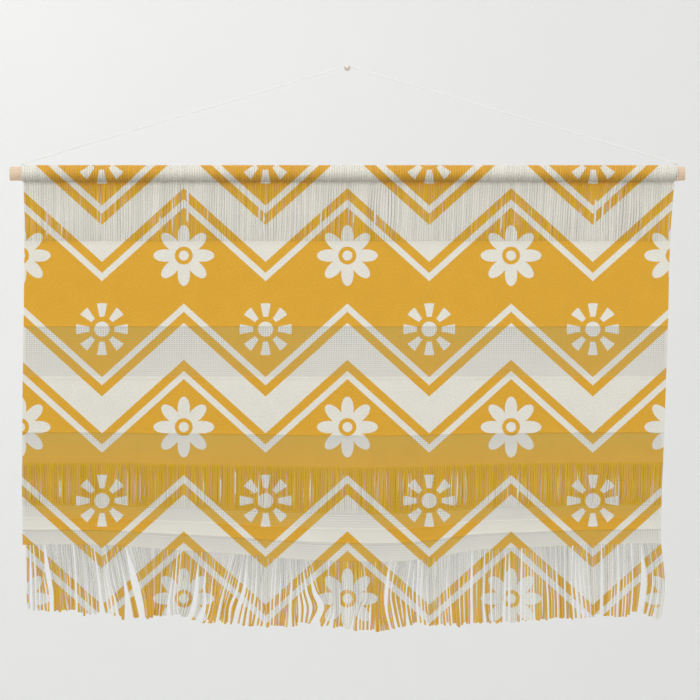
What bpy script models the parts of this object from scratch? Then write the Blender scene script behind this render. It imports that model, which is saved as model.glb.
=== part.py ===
"""A fringed textile wall hanging. One woven cloth is turned over a round wooden rod and
sewn under it, and its warp ends hang below as a fringe. A cord tied round both ends of
the rod hangs it on a nail.

The frame: X runs to the viewer's right, the face looks along -Y and Z is up. The origin
is the centre of the nail's back, where it meets the wall, and the wall is the plane Y = 0.
"""

import math
from collections import namedtuple

import bmesh
import bpy

# Driving dimensions, in millimetres
ROD_LENGTH = 622.0
ROD_RADIUS = 6.5
ROD_DROP = 97.3  # from the nail's axis down to the rod's
CLOTH_THICK = 1.3
HEADING_EASE = 0.4  # the room that the heading leaves round the rod
HEADING_LEFT = -299.3
HEADING_RIGHT = 303.7
WALL_GAP = 0.4
CORD_DIAMETER = 1.1
NAIL_RADIUS = 1.6
NAIL_HEAD_RADIUS = 2.7
NAIL_SHANK = 8.4
NAIL_HEAD_RIM = 0.8
NAIL_HEAD_DOME = 1.0
PART_GAP = 0.3  # between pieces that touch

# Worked out from them
TO_METRES = 0.001
MERGE_DISTANCE = 1e-5  # in metres
HEADING_RADIUS = ROD_RADIUS + HEADING_EASE + CLOTH_THICK / 2
ROD_Y = -(HEADING_RADIUS + CLOTH_THICK / 2 + WALL_GAP)
ROD_Z = -ROD_DROP
SEAM_Z = ROD_Z - HEADING_RADIUS

# How fine the meshes are
CLOTH_COLUMNS = 44
HEADING_STEPS = 20
ROW_SPACING = 20.0
BAND_STEP = 0.8  # the height over which one weave gives way to the next
ROD_SIDES = 48
NAIL_SIDES = 24
TURN_SEGMENTS = (32, 8)
KNOT_SEGMENTS = (14, 9)
CORD_HALF_POINTS = 32  # on each side of the nail
CORD_CROWDING = 1.6  # above 1, the points crowd together at the nail, where the cord bends

# The bands of weave, from the seam down. proud is how far a band's face stands in front
# of the plain weave: loose warp swells forward, and the open leno weave lies back.
Band = namedtuple("Band", "top proud weave")
BANDS = (
    Band(0.0, 0.5, "loose warp"),
    Band(54.8, 0.0, "plain"),
    Band(134.1, -0.45, "leno"),
    Band(179.7, 0.0, "plain"),
    Band(231.7, -0.45, "leno"),
    Band(259.4, 0.3, "loose warp"),
    Band(297.1, -0.45, "leno"),
    Band(309.6, 0.0, "plain"),
    Band(322.0, -0.45, "leno"),
)
CLOTH_DROP = 334.0  # from the seam to the hem, at the sides

# The cloth's two side edges. The width is drawn in towards the hem, most on the right.
Side = namedtuple("Side", "depth left right")
SIDES = (
    Side(0.0, -298.2, 301.0),
    Side(28.0, -297.7, 299.0),
    Side(60.0, -297.6, 297.0),
    Side(134.0, -298.4, 295.2),
    Side(180.0, -299.1, 293.6),
    Side(232.0, -299.5, 291.8),
    Side(297.0, -299.4, 289.3),
    Side(334.0, -299.2, 288.8),
)

# How far the hem sags below its left corner
Sag = namedtuple("Sag", "across drop")
HEM_SAG = (
    Sag(-299.0, 0.0),
    Sag(-228.0, 0.5),
    Sag(-173.0, 4.2),
    Sag(-104.0, 8.8),
    Sag(-53.0, 13.5),
    Sag(-10.0, 15.4),
    Sag(48.0, 15.6),
    Sag(78.0, 12.2),
    Sag(122.0, 5.1),
    Sag(168.0, 2.8),
    Sag(233.0, 0.0),
    Sag(289.0, -1.0),
)

# The share of that sag that shows at each depth: the lower, loose weaves stretch the most
Share = namedtuple("Share", "depth share")
SAG_SHARES = (
    Share(0.0, 0.0),
    Share(180.0, 0.02),
    Share(232.0, 0.18),
    Share(259.0, 0.25),
    Share(297.0, 0.48),
    Share(310.0, 0.7),
    Share(322.0, 0.85),
    Share(334.0, 1.0),
)

# Soft upright folds. forward is how far the hem stands out (or back, if negative), and
# each fold fades away towards the rod.
Fold = namedtuple("Fold", "across width forward")
FOLDS = (
    Fold(-268.0, 42.0, 1.6),
    Fold(-196.0, 50.0, -2.2),
    Fold(-118.0, 44.0, 2.6),
    Fold(-52.0, 34.0, -2.4),
    Fold(12.0, 40.0, 3.0),
    Fold(72.0, 34.0, -2.6),
    Fold(138.0, 46.0, 2.4),
    Fold(214.0, 44.0, -1.6),
    Fold(272.0, 34.0, 2.2),
)
FOLD_START = 60.0  # no fold shows above this depth

# The fringe: even strands, which lie in the locks of this table
STRAND_COUNT = 132
STRAND_FILL = 0.62  # a strand's share of its pitch
STRAND_THICK = 1.7
STRAND_ROWS = 5
STRAND_TIP = 0.7  # the tip's width as a share of the strand's
STRIP_HEIGHT = 3.0

# lean is how far a lock's tip stands to the right of its root, bow is how far its middle
# stands to the right of a straight line, and length is its fall below the hem.
Lock = namedtuple("Lock", "root lean bow length")
LOCKS = (
    Lock(-298.0, 0.9, 0.0, 59.9),
    Lock(-279.5, 4.1, 1.4, 61.6),
    Lock(-259.3, 0.9, 0.5, 60.5),
    Lock(-240.8, 0.9, 0.0, 64.1),
    Lock(-230.7, 5.0, -0.5, 62.2),
    Lock(-216.9, 10.1, -1.4, 67.0),
    Lock(-202.1, 9.2, -0.9, 66.0),
    Lock(-172.7, 1.8, 0.0, 61.2),
    Lock(-145.0, -0.9, -0.9, 59.4),
    Lock(-128.0, -5.5, -0.9, 63.9),
    Lock(-96.0, -11.0, -0.9, 62.4),
    Lock(-86.1, 0.0, 0.0, 65.2),
    Lock(-52.9, 0.9, 0.5, 62.1),
    Lock(-43.7, 2.0, 2.4, 58.5),
    Lock(-30.0, -2.2, 4.2, 57.6),
    Lock(-17.9, -5.5, 3.7, 60.4),
    Lock(-8.0, 0.0, 0.0, 60.6),
    Lock(26.3, 0.9, 0.0, 63.7),
    Lock(38.3, 5.2, -0.9, 62.7),
    Lock(63.2, 0.8, -3.8, 58.8),
    Lock(77.9, 0.0, -0.9, 62.5),
    Lock(118.5, 3.7, -0.9, 67.1),
    Lock(140.6, 0.9, 0.0, 68.6),
    Lock(194.0, 0.9, 0.0, 66.5),
    Lock(208.8, 3.2, -0.9, 67.2),
    Lock(228.0, -0.6, 0.6, 66.0),
    Lock(252.0, 0.9, 0.0, 67.0),
    Lock(269.6, -1.6, 2.0, 62.0),
    Lock(276.9, -2.4, 3.5, 65.3),
    Lock(288.9, 0.6, 2.8, 71.0),
)

# The cord's way from the left knot over the nail to the right knot, chosen by hand
Stop = namedtuple("Stop", "x y z")
CORD_ROUTE = (
    Stop(-299.3, -8.60, -88.05),
    Stop(-290.0, -8.55, -85.20),
    Stop(-230.0, -8.15, -67.10),
    Stop(-150.0, -7.60, -43.00),
    Stop(-70.0, -7.05, -18.85),
    Stop(-20.0, -6.70, -3.55),
    Stop(-6.0, -6.60, 0.72),
    Stop(-1.6, -6.60, 2.12),
    Stop(0.0, -6.60, 2.47),
    Stop(1.6, -6.60, 2.12),
    Stop(6.0, -6.60, 0.72),
    Stop(20.0, -6.70, -3.50),
    Stop(70.0, -7.05, -18.50),
    Stop(150.0, -7.60, -42.30),
    Stop(230.0, -8.10, -66.05),
    Stop(294.0, -8.55, -85.10),
    Stop(303.7, -8.60, -88.05),
)
TIE_CLEARANCE = 1.9  # from the heading's end out to the tie's middle
TIE_EASE = 0.35  # between the rod and the turn of cord
KNOT_RISE = 8.7  # from the rod's axis up to the knot's centre
KNOT_RADIUS = 1.5

Paint = namedtuple("Paint", "name colour roughness metallic")
BEECH = Paint("beech", (0.74, 0.58, 0.42), 0.55, 0.0)
WOVEN_YARN = Paint("woven_yarn", (0.70, 0.40, 0.07), 0.85, 0.0)
FRINGE_YARN = Paint("fringe_yarn", (0.72, 0.60, 0.38), 0.85, 0.0)
COTTON_CORD = Paint("cotton_cord", (0.86, 0.85, 0.82), 0.8, 0.0)
BRASS = Paint("brass", (0.72, 0.58, 0.46), 0.35, 1.0)


def slope(rows, column, i):
    """The slope of a table's column at row i, from the rows on either side."""
    before, after = rows[max(i - 1, 0)], rows[min(i + 1, len(rows) - 1)]
    return (getattr(after, column) - getattr(before, column)) / (after[0] - before[0])


def read(rows, at, column, flowing=True):
    """A table's column at a place between its rows, on a smooth curve through them. If it
    isn't flowing, the curve is level at each row and never swings past one."""
    at = min(max(at, rows[0][0]), rows[-1][0])
    i = next(k for k in range(len(rows) - 1) if at <= rows[k + 1][0])
    low, high = rows[i], rows[i + 1]
    span = high[0] - low[0]
    share = (at - low[0]) / span
    rise = getattr(high, column) - getattr(low, column)
    ease = share * share * (3 - 2 * share)
    value = getattr(low, column) + rise * ease
    if flowing:
        value += span * slope(rows, column, i) * share * (1 - share) ** 2
        value -= span * slope(rows, column, i + 1) * share**2 * (1 - share)
    return value


def proud(depth):
    """How far the weave at a depth stands in front of the plain weave."""
    value = BANDS[0].proud
    for above, band in zip(BANDS, BANDS[1:]):
        share = min(max((depth - band.top) / BAND_STEP + 0.5, 0.0), 1.0)
        value += (band.proud - above.proud) * share
    return value


def fold(across, depth):
    """How far the folds carry the cloth forward at a place."""
    fade = min(max((depth - FOLD_START) / (CLOTH_DROP - FOLD_START), 0.0), 1.0)
    push = sum(f.forward * math.exp(-(((across - f.across) / f.width) ** 2)) for f in FOLDS)
    return push * fade**1.5


def hang(share, depth):
    """The point of the hanging cloth at a share of its width and a depth under the seam."""
    left, right = read(SIDES, depth, "left"), read(SIDES, depth, "right")
    across = left + (right - left) * share
    drop = read(HEM_SAG, across, "drop") * read(SAG_SHARES, depth, "share")
    return across, ROD_Y - proud(depth) - fold(across, depth), SEAM_Z - depth - drop


def turn(share, angle):
    """The point of the heading at a share of its width, where the angle runs from the seam
    up behind the rod, over it and down its front to the seam again."""
    corner = hang(share, 0.0)[0]
    end = HEADING_LEFT + (HEADING_RIGHT - HEADING_LEFT) * share
    away = math.sin(angle / 2)  # nothing at the seam, where the heading is drawn in
    across = corner + (end - corner) * away
    y = ROD_Y + HEADING_RADIUS * math.sin(angle)
    z = ROD_Z - HEADING_RADIUS * math.cos(angle)
    return across, y, z


def cloth_depths():
    """The depths of the cloth's rows: two at each change of weave, and some between."""
    edges = [band.top for band in BANDS] + [CLOTH_DROP]
    depths = []
    for top, bottom in zip(edges, edges[1:]):
        start = top + BAND_STEP / 2 if top else top
        end = bottom - BAND_STEP / 2 if bottom < CLOTH_DROP else bottom
        count = max(1, round((end - start) / ROW_SPACING))
        depths += [start + (end - start) * k / count for k in range(count + 1)]
    return depths


def new_material(paint):
    """A Principled material with a paint's colour, roughness and metallic value."""
    material = bpy.data.materials.get(paint.name)
    if material is None:
        material = bpy.data.materials.new(paint.name)
        material.use_nodes = True
        shader = material.node_tree.nodes["Principled BSDF"]
        shader.inputs["Base Color"].default_value = (*paint.colour, 1.0)
        shader.inputs["Roughness"].default_value = paint.roughness
        shader.inputs["Metallic"].default_value = paint.metallic
    return material


def place(collection, obj, name, paint, smooth_angle=None):
    """Names an object, gives it its material and puts it in the collection."""
    obj.name = name
    obj.data.name = name
    obj.data.materials.clear()
    obj.data.materials.append(new_material(paint))
    for other in list(obj.users_collection):
        other.objects.unlink(obj)
    collection.objects.link(obj)
    if smooth_angle is not None:
        obj.data.shade_smooth()
        obj.data.set_sharp_from_angle(angle=math.radians(smooth_angle))
    return obj


def metres(*millimetres):
    """A point in metres."""
    return tuple(value * TO_METRES for value in millimetres)


def sheet_object(name, columns, rows, point, keep=None):
    """An open sheet of columns by rows, whose corners lie where point(column, row) says.
    keep(column, row) says which of its squares stay. Corners that meet are sewn together."""
    sheet = bmesh.new()
    bmesh.ops.create_grid(sheet, x_segments=columns, y_segments=rows, size=1.0)
    places = {}
    for vert in sheet.verts:
        column = round((vert.co.x + 1) / 2 * columns)
        row = round((1 - vert.co.y) / 2 * rows)
        places[vert] = (column, row)
    if keep:
        gone = []
        for face in sheet.faces:
            corners = [places[vert] for vert in face.verts]
            if not keep(min(c for c, r in corners), min(r for c, r in corners)):
                gone.append(face)
        bmesh.ops.delete(sheet, geom=gone, context="FACES")
    for vert in sheet.verts:
        vert.co = metres(*point(*places[vert]))
    bmesh.ops.remove_doubles(sheet, verts=sheet.verts, dist=MERGE_DISTANCE)
    mesh = bpy.data.meshes.new(name)
    sheet.to_mesh(mesh)
    sheet.free()
    return bpy.data.objects.new(name, mesh)


def make_rod(collection):
    """The round rod, with its sharp ends taken off."""
    bpy.ops.mesh.primitive_cylinder_add(
        vertices=ROD_SIDES,
        radius=ROD_RADIUS * TO_METRES,
        depth=ROD_LENGTH * TO_METRES,
        location=metres(0.0, ROD_Y, ROD_Z),
        rotation=(0.0, math.pi / 2, 0.0),
    )
    rod = bpy.context.active_object
    rounding = rod.modifiers.new("worn ends", "BEVEL")
    rounding.width = 0.7 * TO_METRES
    rounding.segments = 2
    rounding.limit_method = "ANGLE"
    return place(collection, rod, "rod", BEECH, 35)


def make_cloth(collection):
    """The cloth, cut as one length: its first row starts at the seam, the next rows turn
    round the rod, one row comes back to the seam, and the rest hang down to the hem."""
    depths = cloth_depths()

    def point(column, row):
        share = column / CLOTH_COLUMNS
        if 0 < row < HEADING_STEPS:
            return turn(share, 2 * math.pi * row / HEADING_STEPS)
        return hang(share, depths[max(row - HEADING_STEPS, 0)])

    cloth = sheet_object("cloth", CLOTH_COLUMNS, HEADING_STEPS + len(depths) - 1, point)
    body = cloth.modifiers.new("cloth thickness", "SOLIDIFY")
    body.solidify_mode = "NON_MANIFOLD"
    body.nonmanifold_thickness_mode = "CONSTRAINTS"
    body.nonmanifold_merge_threshold = MERGE_DISTANCE
    body.thickness = CLOTH_THICK * TO_METRES
    body.offset = 0.0
    return place(collection, cloth, "cloth", WOVEN_YARN, 40)


def strand_point(column, row):
    """A corner of the fringe sheet. Rows 0 and 1 are the strip's edges, and each pair of
    columns is one strand."""
    index, side = divmod(column, 2)
    half_width = STRAND_FILL / 2 * (1 if side else -1)
    across, y, top = hang((index + 0.5 + half_width) / STRAND_COUNT, CLOTH_DROP)
    top -= PART_GAP
    if row == 0:
        return across, y, top
    middle = hang((index + 0.5) / STRAND_COUNT, CLOTH_DROP)[0]
    lean, bow, length = (read(LOCKS, middle, name, flowing=False) for name in Lock._fields[1:])
    fall = (row - 1) / STRAND_ROWS
    if row == STRAND_ROWS + 1:
        across = middle + (across - middle) * STRAND_TIP
    across += lean * fall**1.5 + bow * math.sin(math.pi * fall)
    return across, y, top - STRIP_HEIGHT - (length - STRIP_HEIGHT) * fall


def make_fringe(collection):
    """The fringe: a narrow strip under the hem, cut into strands below."""

    def keep(column, row):
        return row == 0 or column % 2 == 0

    columns = 2 * STRAND_COUNT - 1
    fringe = sheet_object("fringe", columns, STRAND_ROWS + 1, strand_point, keep)
    body = fringe.modifiers.new("yarn thickness", "SOLIDIFY")
    body.thickness = STRAND_THICK * TO_METRES
    body.offset = 0.0
    return place(collection, fringe, "fringe", FRINGE_YARN)


def smooth_route():
    """Points along a smooth curve through the cord's route, crowded together at the nail."""
    stops = []
    for k in range(-CORD_HALF_POINTS, CORD_HALF_POINTS + 1):
        reach = (abs(k) / CORD_HALF_POINTS) ** CORD_CROWDING
        end = CORD_ROUTE[-1] if k > 0 else CORD_ROUTE[0]
        x = end.x * reach
        stops.append(Stop(x, read(CORD_ROUTE, x, "y"), read(CORD_ROUTE, x, "z")))
    return stops


def make_hanging_cord(collection):
    """The taut cord from knot to knot over the nail."""
    curve = bpy.data.curves.new("hanging_cord", "CURVE")
    curve.dimensions = "3D"
    curve.bevel_depth = CORD_DIAMETER / 2 * TO_METRES
    curve.bevel_resolution = 2
    curve.use_fill_caps = True
    route = smooth_route()
    spline = curve.splines.new("POLY")
    spline.points.add(len(route) - 1)
    for point, stop in zip(spline.points, route):
        point.co = (*metres(*stop), 1.0)
    cord = bpy.data.objects.new("hanging_cord", curve)
    return place(collection, cord, "hanging_cord", COTTON_CORD)


def make_cord_tie(collection, helpers, name, across):
    """A turn of cord round the rod, and the knot on top of it joined into one with it."""
    bpy.ops.mesh.primitive_torus_add(
        major_radius=(ROD_RADIUS + TIE_EASE + CORD_DIAMETER / 2) * TO_METRES,
        minor_radius=CORD_DIAMETER / 2 * TO_METRES,
        major_segments=TURN_SEGMENTS[0],
        minor_segments=TURN_SEGMENTS[1],
        location=metres(across, ROD_Y, ROD_Z),
        rotation=(0.0, math.pi / 2, 0.0),
    )
    tie = bpy.context.active_object
    bpy.ops.mesh.primitive_uv_sphere_add(
        segments=KNOT_SEGMENTS[0],
        ring_count=KNOT_SEGMENTS[1],
        radius=KNOT_RADIUS * TO_METRES,
        location=metres(across, ROD_Y, ROD_Z + KNOT_RISE),
    )
    knot = place(helpers, bpy.context.active_object, name + "_knot", COTTON_CORD)
    knot.hide_render = True
    knot.display_type = "WIRE"
    joining = tie.modifiers.new("knot", "BOOLEAN")
    joining.operation = "UNION"
    joining.object = knot
    return place(collection, tie, name, COTTON_CORD, 50)


def make_nail(collection):
    """The round-headed nail, turned about its axis, which points out of the wall."""
    profile = [(0.0, NAIL_SHANK + NAIL_HEAD_RIM + NAIL_HEAD_DOME)]
    for degrees in (65, 40, 15, 0):
        angle = math.radians(degrees)
        dome = NAIL_SHANK + NAIL_HEAD_RIM + NAIL_HEAD_DOME * math.sin(angle)
        profile.append((NAIL_HEAD_RADIUS * math.cos(angle), dome))
    profile += [(NAIL_HEAD_RADIUS, NAIL_SHANK), (NAIL_RADIUS, NAIL_SHANK)]
    profile += [(NAIL_RADIUS, 0.0), (0.0, 0.0)]
    mesh = bpy.data.meshes.new("nail")
    outline = bmesh.new()
    corners = [outline.verts.new(metres(radius, 0.0, height)) for radius, height in profile]
    for above, below in zip(corners, corners[1:]):
        outline.edges.new((above, below))
    outline.to_mesh(mesh)
    outline.free()
    nail = bpy.data.objects.new("nail", mesh)
    nail.rotation_euler = (math.pi / 2, 0.0, 0.0)
    lathe = nail.modifiers.new("turning", "SCREW")
    lathe.steps = lathe.render_steps = NAIL_SIDES
    lathe.use_merge_vertices = True
    lathe.merge_threshold = MERGE_DISTANCE
    lathe.use_smooth_shade = False
    return place(collection, nail, "nail", BRASS)


def main():
    for obj in list(bpy.data.objects):
        bpy.data.objects.remove(obj, do_unlink=True)
    collection = bpy.data.collections.new("fringed wall hanging")
    helpers = bpy.data.collections.new("shapes joined into others")
    for made in (collection, helpers):
        bpy.context.scene.collection.children.link(made)
    make_rod(collection)
    make_cloth(collection)
    make_fringe(collection)
    make_hanging_cord(collection)
    make_cord_tie(collection, helpers, "cord_tie_left", HEADING_LEFT - TIE_CLEARANCE)
    make_cord_tie(collection, helpers, "cord_tie_right", HEADING_RIGHT + TIE_CLEARANCE)
    make_nail(collection)


main()
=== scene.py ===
"""The looks of a fringed textile wall hanging: one printed cotton cloth with bands of
loose warp, plain weave and leno net, turned over a beech rod, with its warp ends as a
fringe, hung by a twisted cord from a brass nail.

Lengths are in millimetres until they go into a mesh. The cloth's own pieces are made
flat, with X across the cloth, -Y down it and +Z out of its face, and are then hung. Down
the cloth, depth is 0 at the seam under the rod, and the heading lies before it.
"""

import math
from collections import namedtuple

import bmesh
import bpy
import numpy as np
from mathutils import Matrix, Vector


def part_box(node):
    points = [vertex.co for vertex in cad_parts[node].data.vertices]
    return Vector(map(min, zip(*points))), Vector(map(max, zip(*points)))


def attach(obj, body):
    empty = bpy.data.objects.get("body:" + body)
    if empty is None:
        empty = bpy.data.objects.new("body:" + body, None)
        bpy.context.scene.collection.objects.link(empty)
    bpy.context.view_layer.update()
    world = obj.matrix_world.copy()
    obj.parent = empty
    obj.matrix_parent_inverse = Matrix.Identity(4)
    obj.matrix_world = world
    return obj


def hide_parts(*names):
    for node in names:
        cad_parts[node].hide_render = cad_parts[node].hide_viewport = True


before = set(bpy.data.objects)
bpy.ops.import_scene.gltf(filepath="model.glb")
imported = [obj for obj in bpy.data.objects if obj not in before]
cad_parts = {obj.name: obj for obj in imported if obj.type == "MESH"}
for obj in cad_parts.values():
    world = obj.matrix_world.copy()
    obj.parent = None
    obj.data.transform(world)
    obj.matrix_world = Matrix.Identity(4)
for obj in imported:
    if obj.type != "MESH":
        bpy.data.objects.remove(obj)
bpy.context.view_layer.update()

MM = 0.001
TURN = 2 * math.pi


def table(columns, *rows):
    """A short table: its rows, with their columns by name."""
    return tuple(map(namedtuple("Row", columns)._make, rows))


# The frame's own sizes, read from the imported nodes
rod_low, rod_high = (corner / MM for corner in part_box("rod"))
ROD_RADIUS = (rod_high.z - rod_low.z) / 2
ROD_Y = (rod_high.y + rod_low.y) / 2
ROD_Z = (rod_high.z + rod_low.z) / 2
CLOTH_THICK = 1.3
HEADING_EASE = 0.4
HEADING_RADIUS = ROD_RADIUS + HEADING_EASE + CLOTH_THICK / 2
HEADING_LEFT = -299.3
HEADING_RIGHT = 303.7
CLOTH_WIDTH = HEADING_RIGHT - HEADING_LEFT
HEADING_ROUND = TURN * HEADING_RADIUS
HEADING_UNEVEN = 0.08  # how unevenly its yarns stand out
# Painted shade on the heading, deepest at its seam, where its round turns away from the light
HEADING_SHADE = 0.8
HEADING_TURNS = 0.6  # the share of its height, from below, that turns away from the light
SEAM_Z = ROD_Z - HEADING_RADIUS
CLOTH_DROP = 334.0
FRINGE_DROP = 64.0  # a middling strand's length below the hem

# The warp: two yarns to each step, one behind the other
WARP_COUNT = 262
WARP_PITCH = CLOTH_WIDTH / WARP_COUNT
BAND_STEP = 0.8  # the height over which one band's place in depth gives way to the next's
PLAIN_ROW = 3.0  # about the height of a plain band's faces, but for those at its edges
PLAIN_COLUMNS = 240
PLAIN_THICK = 0.8
LAST_WEFT = 0.28  # how far the thick weft along each edge stands out
LAST_WEFT_IN = 0.7  # from the edge to the middle of that weft
LAST_WEFT_HALF = 0.45  # half its width
# Painted shade on the plain weave, as lots that darken it toward the hem
PLAIN_PAINTED_SHADE = table("depth lot", (140.0, 0.0), (200.0, -1.5), (250.0, -1.5), (310.0, -2.5))
PLAIN_EDGE = np.array((0.0, 0.35, 0.7, 1.1, 1.5))  # rows close enough for its thick last weft
PLAIN_SPACING = 1.15  # of one over and one under in its relief
LENO_ROW = 1.9
LENO_PLY = 0.9  # from one slanting ply on the net to the next
YARN_LAY = 2.4  # the length of one turn of a yarn's two plies
LENO_TUCK = 1.5  # how far a net's ends go in under the plain weave
LENO_THICK = 0.75
JUST_UNDER_HALF = 0.4999  # of a net's width or height: past this lie only its edges' points
LENO_LINE = 0.9  # the width of a thin line of painted shade along each leno band's top, where the plain weave overhangs it
NET_FACE = 0.44  # its twisted cords show a little of their unprinted sides
STRAND_RADIUS = 1.18
STRAND_SWING = 0.9  # how far a middling lock's tip swings forward or hooks sideways
STRAND_ROLL = 0.5  # in radians, how far a strand has rolled
STRAND_CURLS = table("across curl", (0.0, 1.0), (150.0, 0.4))
STRAND_CLOSE = 1.2  # the most by which two strands of a lock are taken to overlap
STRAND_LIFT = 0.35  # how far one stands forward or back of its place for each such millimetre
STRAND_STRAY = 0.2  # how far a middling strand swings forward of its lock
STRAND_UNEVEN = 0.9  # how unevenly the strands of a lock are cut
STRAND_TAPER = 0.26  # the most that a strand draws in on its way down
STRAND_BOW = 0.6  # how far a strand's own bow carries it sideways
STRAND_HOOK = 0.3  # the share of its fall, at its tip, in which a strand hooks sideways
FRAY = 0.5  # loose fibres close a gap half up where it is as wide as this
# Painted shade on the fringe's strands, deepest at their roots under the hem
FRINGE_SHADE = 0.48
FRINGE_SHADE_LOST = 0.36  # how much less its tips have

# The loose warp's yarns, which slide sideways and hang slack
SLIDE_GROUP = 4  # how many yarns away a group that stands apart still tells
SLIDE_CLOSE_UP = 12  # how many yarns on either side close up to make room
WIDE_GAP = 0.8
WIDE_GAP_SHARE = 0.02  # of all gaps
LOOSE_UNEVEN = 0.2  # how unevenly yarns stand out
LOOSE_LEAN = 0.35  # how far a yarn's lean carries it sideways down the whole band
LOOSE_SAG = 0.25  # how far yarns differ in slack, as a share of it
LOOSE_ROLL = 0.3  # in radians, how far a yarn has rolled
TOP_SHADE_REACH = 6.0  # how far down a loose band the painted shade at its top fades
# How far down a loose band the painted light under the heading reaches
UNDER_HEADING_REACH = 3.2

BANDS = table(
    "top proud weave",
    (0.0, 0.5, "loose"),
    (54.8, 0.0, "plain"),
    (133.4, -0.2, "leno"),
    (179.7, 0.0, "plain"),
    (231.2, -0.2, "leno"),
    (259.4, 0.3, "loose"),
    (297.1, -0.2, "leno"),
    (309.2, 0.0, "plain"),
    (320.9, -0.2, "leno"),
    (CLOTH_DROP, -0.2, "fringe"),
)

# How slack each loose band's yarns are, how much painted shade they get for lying in each
# other's shade, how much more just under the band's top, and how much painted light right
# under the heading, against the shadow that the heading casts there
LOOSE_WARP = table(
    "slack shade top under",
    (1.2, 0.35, 0.25, 1.5),
    (0.8, 0.56, 0.12, 0.0),
)

SIDES = table(
    "depth left right",
    (0.0, -298.2, 301.0),
    (28.0, -297.7, 299.0),
    (60.0, -297.6, 297.0),
    (134.0, -298.4, 295.2),
    (180.0, -299.1, 293.6),
    (232.0, -299.5, 291.8),
    (297.0, -299.4, 289.3),
    (334.0, -299.2, 288.8),
)

HEM_SAG = table(
    "across drop",
    (-299.0, 0.0), (-228.0, 0.5), (-173.0, 4.2), (-104.0, 8.8), (-53.0, 13.5), (-10.0, 15.4),
    (48.0, 15.6), (78.0, 12.2), (122.0, 5.1), (168.0, 2.8), (233.0, 0.0), (289.0, -1.0),
)

SAG_SHARES = table(
    "depth share",
    (0.0, 0.0), (180.0, 0.02), (232.0, 0.18), (259.0, 0.25), (297.0, 0.48), (310.0, 0.66),
    (322.0, 0.8), (334.0, 1.0),
)

FOLDS = table(
    "across width forward",
    (-268.0, 42.0, 1.6),
    (-196.0, 50.0, -2.2),
    (-118.0, 44.0, 2.6),
    (-52.0, 34.0, -2.4),
    (12.0, 40.0, 3.0),
    (72.0, 34.0, -2.6),
    (138.0, 46.0, 2.4),
    (214.0, 44.0, -1.6),
    (272.0, 34.0, 2.2),
)
FOLD_START = 60.0

# Shallow ripples left in the cloth by rolling and by the loose bands
RIPPLES = table(
    "across down height phase",
    (171.0, 260.0, 0.35, 0.4),
    (83.0, -150.0, 0.22, 2.1),
    (-47.0, 95.0, 0.14, 4.0),
    (29.0, 61.0, 0.08, 1.2),
)

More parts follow.
